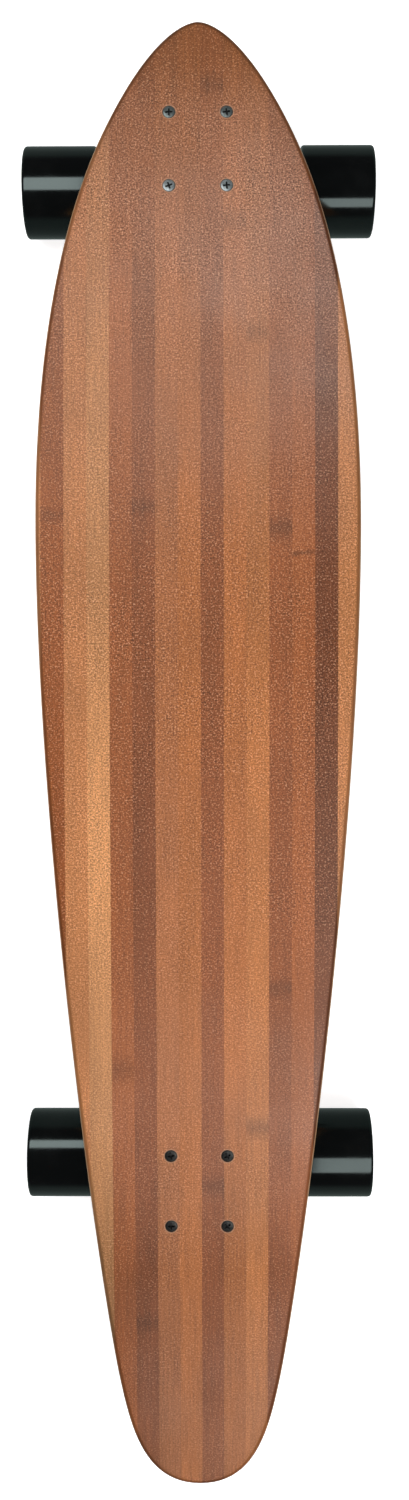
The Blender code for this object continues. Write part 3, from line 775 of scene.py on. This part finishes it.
# -------- fasteners
# The finish of each head and how far its cross is turned, in degrees. The front heads' lighter greys are painted
# reflection on black oxide.
SCREW_LOOKS = {
    "front": (("grey_screw", "grey_screw", "pale_screw", "pale_screw"), (3, 9, 20, 6)),
    "rear": (("black_screw",) * 4, (36, 4, 27, 12)),
}


def cross_cutter(at):
    """One bar of a cross recess that narrows with depth."""
    bm = bmesh.new()
    bmesh.ops.create_cube(bm, size=1.0)
    for vert in bm.verts:
        half_length, half_width, height = (1.2, 0.4, -2.2) if vert.co.z < 0 else (3.05, 0.74, 0.4)
        vert.co = Vector((half_length * MM if vert.co.x > 0 else -half_length * MM,
                          half_width * MM if vert.co.y > 0 else -half_width * MM, height * MM))
    return add_mesh("cross", bm, at)


def build_screw(label, number, at):
    """A countersunk machine screw with a cross recess."""
    top, head_edge, radius = -0.12, 4.42, 2.45
    thread_start, thread_end, pitch = -12, -28.2, 1.0
    profile = [(0.0, top + 0.06), (head_edge - 0.35, top), (head_edge, top - 0.22), (radius, -2.6),
               (radius, thread_start)]
    for i in range(round((thread_start - thread_end) / pitch)):
        z = thread_start - pitch * i
        profile += [(radius - 0.28, z - pitch * 0.45), (radius, z - pitch * 0.9)]
    profile += [(radius - 0.6, thread_end - 0.6), (0.0, thread_end - 0.6)]
    finishes, turns = SCREW_LOOKS[label]
    screw = lathe(f"{label}_deck_screw_{number}", mm(*profile), at, M[finishes[number - 1]], 40)
    carve(screw, [cross_cutter(at @ Matrix.Rotation(radians(turns[number - 1]) + angle, 4, "Z"))
                  for angle in (0.0, pi / 2)])
    declare(screw, "board", f"{label}_screw_{number}")


def hex_nut(name, across_flats, height, bore, matrix, body, node):
    """A chamfered lock nut on its frame's origin, with a nylon ring in its far end. Its sizes are in millimetres."""
    flat, corner, shoulder = across_flats / 2, across_flats / sqrt(3), height * 0.8
    nut = prism(name, 6, corner, 0.0, shoulder, matrix, M["zinc"])
    chamfer = (corner - flat) * 0.9
    clear, proud = 0.2, 0.001
    rounding = mm((0.0, -proud), (flat, -proud), (corner + clear, chamfer), (corner + clear, shoulder - chamfer),
                  (flat, shoulder + proud), (0.0, shoulder + proud))
    carve(nut, [lathe("rounding", rounding, matrix, segments=64)], "INTERSECT", 25)
    collar = across_flats * 0.42
    collar_profile = mm((0.0, height * 0.5), (collar, height * 0.5), (collar, height), (0.0, height))
    carve(nut, [lathe("collar", rounded(collar_profile, [0, 0, 0.5, 0]), matrix, segments=64)], "UNION", 25)
    carve(nut, [rod("bore", bore, -1, height + 1, matrix)], sharp=25)
    declare(nut, body, node)
    inside, outside, start, end = bore + 0.02, collar * 0.86, height * 0.82, height * 1.01
    ring_profile = mm((inside, start), (outside, start), (outside, end), (inside, end))
    ring = lathe(name + "_insert", rounded(ring_profile, [0, 0, 0.2, 0.2]), matrix, M["nylon"], 48)
    carve(nut, [rod("seat", collar * 0.87, height * 0.81, height * 1.2, matrix)], sharp=25)
    declare(ring, body)


def threaded_rod(radius, end, thread_start, pitch):
    """An open profile, in millimetres, from the chamfered end of a rod down its thread."""
    chamfer, thread_depth = 0.7, 0.3
    profile = [(0.0, end), (radius - chamfer, end), (radius, end - chamfer)]
    for i in range(round((end - chamfer - thread_start) / pitch)):
        z = end - chamfer - pitch * i
        profile += [(radius - thread_depth, z - pitch * 0.5), (radius, z - pitch)]
    return profile


# -------- trucks
def build_truck(label, end):
    """A reverse-kingpin truck with its riser, axle nuts and two wheels."""
    truck = truck_frame(end)
    steer = truck_point(cos(STEERING_ANGLE), sin(STEERING_ANGLE))
    pin = truck_point(-sin(STEERING_ANGLE), cos(STEERING_ANGLE))
    ring_centre = truck_point(*RING_CENTRE)
    pivot = truck @ along(steer, ring_centre - PIVOT_DISTANCE * MM * steer)
    kingpin = truck @ along(pin, ring_centre)
    steering = truck @ along(steer, ring_centre)
    axle = truck @ along((1, 0, 0), truck_point(*AXLE_CENTRE))
    assembly = f"{label}_hanger_assembly"

    build_riser(label, truck)
    build_baseplate(label, truck, pivot, kingpin)
    build_pivot_cup(label, pivot)
    build_kingpin(label, kingpin)
    build_hanger(label, steering, kingpin, axle, assembly)
    build_axle(label, axle, assembly)
    for side, x_side in (("left", -1), ("right", 1)):
        outward = along((x_side, 0, 0), axle.translation)
        hex_nut(f"{label}_{side}_axle_lock_nut", 13, 7, AXLE_BORE, raised(outward, AXLE_NUT_START), assembly,
                f"{label}_{side}_axle_nut")
        build_wheel(f"{label}_{side}_wheel", raised(outward, WHEEL_CENTRE), assembly)


def mounting_holes(truck):
    """The truck's frame moved to each of its four screws."""
    return [truck @ Matrix.Translation((x_side * SCREW_X, y_side * SCREW_Y, 0)) for x_side in (-1, 1)
            for y_side in (-1, 1)]


def build_riser(label, truck):
    pad = box(f"{label}_riser", (-28.5, -43, -3.5), (28.5, 43, -0.5), truck, M["riser"], upright=8, edge=0.5)
    carve(pad, [prism("hole", 32, 2.8, -6, 2, at) for at in mounting_holes(truck)])
    declare(pad, "board", f"{label}_riser_pad")


def build_baseplate(label, truck, pivot, kingpin):
    """The cast base: a flange, the pivot's housing, the kingpin block and two side ribs."""
    housing = mm((0.0, 4.2), (11.9, 4.2), (12.2, 0.0), (12.2, -17), (0.0, -17))
    shapes = [
        box("flange", (-27, -41.5, -9.7), (27, 41.5, -1), truck, upright=8),
        lathe("housing", housing, pivot, segments=64),
        box("block", (-13.7, -14.6, -43.6), (13.7, 14.6, -19.3), kingpin, upright=4),
    ]
    for side in (-1, 1):
        shapes.append(box("rib", (side * 12 - 1.6, -30, -13.5), (side * 12 + 1.6, 26, -3), truck))
    plate = casting(f"{label}_base_casting", shapes, 6)
    head_middle = truck.inverted() @ (kingpin @ Vector((0, 0, -40 * MM)))
    cutters = [
        box("board_side", (-60, -80, -3.8), (60, 80, 60), truck),
        rod("cup_seat", 8.8, 9, -7.7, pivot, 64),
        rod("pin_bore", 5.05, -15, -40, kingpin),
        rod("seat_face", 16.5, -10, -19, kingpin, 64),
        rod("head_recess", 8.6, -34, -41, kingpin),
        box("head_slot", (-8.6, -6, -4), (8.6, 6, 30), truck @ Matrix.Translation(head_middle)),
    ]
    screw_hole = mm((0.0, 1), (2.8, 1), (2.8, -9.9), (6.3, -9.9), (6.3, -24), (0.0, -24))
    cutters += [lathe("screw_hole", screw_hole, at, segments=48) for at in mounting_holes(truck)]
    carve(plate, cutters, sharp=50)
    declare(plate, "board", f"{label}_baseplate")


def quarter_turn(steps):
    """Angles from 0 to a right angle."""
    return [pi / 2 * k / steps for k in range(steps + 1)]


def build_pivot_cup(label, pivot):
    bowl_radius, wall_radius, floor = 5.85, 8.5, -7.4
    bowl = mm(*[(bowl_radius * sin(angle), -bowl_radius * cos(angle)) for angle in quarter_turn(10)])
    wall = rounded(mm((bowl_radius, 5), (wall_radius, 5), (wall_radius, floor)), [0.5, 0.8, 0.8])
    cup = lathe(f"{label}_pivot_bush", bowl + wall + mm((0.0, floor)), pivot, M["cup"], 64)
    declare(cup, "board", f"{label}_pivot_cup")


def bushing(name, low, high, kingpin):
    """A barrel bushing with moulded rims, in rows along its length."""
    rows = 12
    outer, inner = [], []
    for k in range(rows + 1):
        share = k / rows
        rim = 0.5 if k in (0, rows) else 0.0
        outer.append((11.7 + 0.55 * sin(pi * share) - rim, high - (high - low) * share))
        inner.append((5.2, low + (high - low) * share))
    return lathe(name, mm(*outer, *inner), kingpin, M["bushing"], 64)


def build_kingpin(label, kingpin):
    """Kingpin, two bushings, their washer and the lock nut."""
    profile = mm(*threaded_rod(KINGPIN_RADIUS, 28, 15, 1.2), (KINGPIN_RADIUS, -35), (0.0, -35))
    pin = lathe(f"{label}_kingpin_bolt", profile, kingpin, M["zinc"], 48)
    carve(pin, [prism("head", 6, KINGPIN_HEAD / sqrt(3), -40, -34.3, kingpin)], "UNION")
    declare(pin, "board", f"{label}_kingpin")

    for side, seat, ring_side in (("board", BOARD_BUSHING_SEAT, -RING_FACE), ("road", ROAD_BUSHING_SEAT, RING_FACE)):
        barrel = bushing(f"{label}_{side}_barrel", min(seat, ring_side), max(seat, ring_side), kingpin)
        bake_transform(barrel)
        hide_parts(f"{label}_{side}_bushing")

    cup = mm((12.4, 14.9), (12.4, 18.3), (5.0, 18.3), (5.0, 16.3), (11.9, 16.3), (11.9, 14.9))
    washer = lathe(f"{label}_cup_washer", rounded(cup, [0.2, 1.2, 0.2, 0.2, 0, 0.1]), kingpin, M["zinc"], 64)
    declare(washer, "board", f"{label}_bushing_washer")
    hex_nut(f"{label}_kingpin_lock_nut", KINGPIN_HEAD, 8, 4.85, raised(kingpin, 18.6 * MM), "board",
            f"{label}_kingpin_nut")


def build_hanger(label, steering, kingpin, axle, assembly):
    """The cast hanger: a tapered axle tube, the ring, the pivot's nose, and a web and two ribs between them."""
    half = HANGER_HALF_LENGTH - 0.5
    tube = mm((0.0, half), (8.4, half), (8.8, half - 8), (9.6, 56), (9.9, 30), (9.9, -30), (9.6, -56),
              (8.8, 8 - half), (8.4, -half), (0.0, -half))
    ring = mm((0.0, 4.2), (14.4, 4.2), (14.9, 3), (14.9, -3), (14.4, -4.2), (0.0, -4.2))
    tip = [(PIVOT_RADIUS * cos(angle), -PIVOT_DISTANCE - PIVOT_RADIUS * sin(angle)) for angle in quarter_turn(8)]
    nose = mm((0.0, -13.4), (7.6, -13.4), (8.2, -16), (PIVOT_RADIUS, -22.5), *tip)
    shapes = [
        lathe("tube", tube, axle, segments=64),
        lathe("ring", ring, kingpin, segments=64),
        lathe("nose", nose, steering, segments=48),
    ]
    axle_place = (steering.inverted() @ axle).translation
    web_start = Vector((0.0, 0.0, 14.5 * MM))
    web_end = Vector((0.0, axle_place.y, axle_place.z))
    reach = (web_end - web_start).length
    web = box("web", (-1, -3.6, -1.5), (1, 3.6, reach / MM), steering @ along(web_end - web_start, web_start))
    for vert in web.data.vertices:
        spread = 12 * MM if vert.co.z < reach / 2 else 50 * MM
        vert.co.x = spread if vert.co.x > 0 else -spread
    shapes.append(web)
    for side in (-1, 1):
        start = Vector((side * 11 * MM, 0.0, 12 * MM))
        stop = Vector((side * 48 * MM, axle_place.y, axle_place.z - 2 * MM))
        length = (stop - start).length
        shapes.append(lathe("rib", [(0.0, length), (4.4 * MM, length), (5.2 * MM, 0.0), (0.0, 0.0)],
                            steering @ along_any(stop - start, start), segments=32))
    hanger = casting(f"{label}_hanger_casting", shapes, 7)
    carve(hanger, [
        rod("ring_bore", 6.6, 12, -12, kingpin),
        rod("axle_bore", 4.25, 130, -130, axle),
        rod("board_seat", 12.7, -4, -12, kingpin, 64),
        rod("road_seat", 12.7, 16, 4, kingpin, 64),
    ], sharp=50)
    declare(hanger, assembly, f"{label}_hanger")


def build_axle(label, axle, assembly):
    top = mm(*threaded_rod(4.0, AXLE_HALF_LENGTH, 112, 1.0))
    bottom = [(radius, -height) for radius, height in reversed(top)]
    piece = lathe(f"{label}_axle_rod", top + bottom, axle, M["axle"], 40)
    declare(piece, assembly, f"{label}_axle")


# -------- wheels
def build_wheel(name, at, assembly):
    """A wheel about its spin axis, with Z pointing outward: tyre, core, bearings, spacer and speed washers."""
    half = WHEEL_WIDTH / 2
    lip = 27.5 * MM
    bore = mm((22.5, -21.5), (20.0, -20.5), (18.75, -17), (18.75, 17), (20.0, 20.5), (22.5, 21.5))
    profile = [(WHEEL_RADIUS, half), (WHEEL_RADIUS, -half), (lip, -half), *bore, (lip, half)]
    radii = [3.6, 3.6, 1.6, 2.0, 1.0, 0.5, 0.5, 1.0, 2.0, 1.6]
    tyre = lathe(f"{name}_urethane", rounded(profile, radii, 7), at, M["wheel"], 128)
    declare(tyre, name, f"{name}_tyre")

    profile = mm((18.7, 15.5), (18.7, -15.5), (17.2, -15.5), (17.2, -9), (13.2, -9), (13.2, -14), (11.1, -14),
                 (11.1, -4.8), (7.5, -4.8), (7.5, 4.8), (11.1, 4.8), (11.1, 14), (13.2, 14), (13.2, 9), (17.2, 9),
                 (17.2, 15.5))
    core = lathe(f"{name}_core", rounded(profile, [0.4] * len(profile), 3), at, M["hub"], 96)
    spokes = 8
    carve(core, [box("rib", (12.6, -0.9, -13), (17.8, 0.9, 13), at @ Matrix.Rotation(2 * pi * k / spokes + 0.2, 4, "Z"))
                 for k in range(spokes)], "UNION")
    declare(core, name, f"{name}_hub")

    inner, (seal_in, seal_out) = AXLE_BORE, SEAL_RADII
    for side, start in (("inner", -12), ("outer", 5)):
        stop, groove = start + 7, 0.35
        profile = mm((BEARING_RADIUS, stop), (BEARING_RADIUS, start), (seal_out, start), (seal_out, start + groove),
                     (seal_in, start + groove), (seal_in, start), (inner, start), (inner, stop), (seal_in, stop),
                     (seal_in, stop - groove), (seal_out, stop - groove), (seal_out, stop))
        radii = [0.4, 0.4, 0, 0, 0, 0, 0.3, 0.3, 0, 0, 0, 0]
        bearing = lathe(f"{name}_{side}_ball_bearing", rounded(profile, radii, 3), at, M["bearing"], 64)
        declare(bearing, name, f"{name}_{side}_bearing")
    profile = mm((5.2, 4.9), (5.2, -4.9), (inner, -4.9), (inner, 4.9))
    declare(lathe(f"{name}_spacer", rounded(profile, [0.2] * 4, 2), at, M["zinc"], 48), name)
    for side, start in (("inner", -13.1), ("outer", 12.1)):
        profile = mm((5.6, start + 1), (5.6, start), (inner, start), (inner, start + 1))
        washer = lathe(f"{name}_{side}_speed_washer", rounded(profile, [0.15] * 4, 2), at, M["zinc"], 48)
        declare(washer, assembly)


# -------- camera, lights and floor
def build_camera():
    """The photo's view, from almost straight above."""
    data = bpy.data.cameras.new("camera")
    camera = bpy.data.objects.new("camera", data)
    bpy.context.scene.collection.objects.link(camera)
    data.sensor_width = 36.0
    data.sensor_fit = "AUTO"
    data.lens = 35.67
    view = Matrix.Translation((0.0128, 0.0545, 1.184))
    for degrees, axis in ((-2.003, "X"), (0.456, "Y"), (-0.061, "Z")):
        view = view @ Matrix.Rotation(radians(degrees), 4, axis)
    camera.matrix_world = view
    bpy.context.scene.camera = camera


def ceiling_light(name, location, size_x, size_y, radiance, reflected=True):
    """A softbox that faces straight down. One that isn't reflected lights surfaces but leaves no highlight."""
    data = bpy.data.lights.new(name, "AREA")
    data.shape = "RECTANGLE"
    data.size = size_x
    data.size_y = size_y
    data.energy = radiance * pi * size_x * size_y
    light = bpy.data.objects.new(name, data)
    light.location = location
    light.visible_glossy = reflected
    bpy.context.scene.collection.objects.link(light)


def build_world():
    """A dim room, brighter below the horizon, where a table would reflect."""
    world = bpy.data.worlds.new("studio")
    bpy.context.scene.world = world
    world.use_nodes = True
    tree = world.node_tree
    coords = tree.nodes.new("ShaderNodeTexCoord")
    split = tree.nodes.new("ShaderNodeSeparateXYZ")
    ramp = tree.nodes.new("ShaderNodeValToRGB")
    tree.links.new(coords.outputs["Generated"], split.inputs[0])
    tree.links.new(split.outputs[2], ramp.inputs[0])
    tree.links.new(ramp.outputs[0], tree.nodes["Background"].inputs["Color"])
    table_glow, room_glow = (0.19, 0.24, 0.225), (0.07, 0.07, 0.075)
    for element, height, colour in zip(ramp.color_ramp.elements, (0.0, 0.25), (table_glow, room_glow)):
        element.position = height
        element.color = (*colour, 1.0)


def build_floor():
    """A pale floor that glows a little, more so far away, where the lights don't reach."""
    n = Nodes("pale_floor")
    speck = n.noise(n.object, 30.0)
    colour = n.mix(n.step(speck, 0.3, 0.7), srgb(214, 214, 214), srgb(218, 218, 218))
    x, y, _ = n.split(n.object)
    glow = n.step(n.length(x, y), 1.0, 4.5, 0.84, 1.0)
    n.finish(colour, 0.7, None, Emission_Color=(1.0, 1.0, 1.0), Emission_Strength=glow)
    bm = bmesh.new()
    bmesh.ops.create_grid(bm, x_segments=4, y_segments=4, size=20.0)
    floor = add_mesh("floor", bm, Matrix.Translation((0, 0, -0.2 * MM)), n.material)
    floor.visible_glossy = False


def build_backdrop():
    """A plain white surround that only the camera sees."""
    wall = Nodes("pale_wall")
    wall.finish(srgb(0, 0, 0), 1.0, None, Emission_Color=(1.0, 1.0, 1.0), Emission_Strength=1.0)
    bm = bmesh.new()
    bmesh.ops.create_uvsphere(bm, u_segments=64, v_segments=32, radius=14.0)
    backdrop = add_mesh("backdrop", bm, None, wall.material)
    backdrop.visible_diffuse = backdrop.visible_glossy = backdrop.visible_shadow = backdrop.visible_transmission = False


def build_studio():
    build_world()
    ceiling_light("left_softbox", (-0.50, 0.545, 1.12), 0.8, 0.59, 6.0)
    ceiling_light("right_softbox", (0.50, -0.70, 1.12), 0.8, 0.84, 4.6)
    ceiling_light("fill", (0.0, 0.0, 2.2), 2.4, 3.0, 0.85, reflected=False)
    build_floor()
    build_backdrop()


build_camera()
build_studio()
build_deck()
for screw_label, screw_number, screw_at in screw_places():
    build_screw(screw_label, screw_number, screw_at)
    hex_nut(f"{screw_label}_deck_lock_nut_{screw_number}", 9.5, 5, 2.5,
            raised(screw_at, -NUT_FACE_DEPTH) @ Matrix.Rotation(pi, 4, "X"), "board",
            f"{screw_label}_lock_nut_{screw_number}")
build_truck("front", 1)
build_truck("rear", -1)
bpy.context.scene.view_settings.view_transform = "Standard"

bpy.context.view_layer.update()
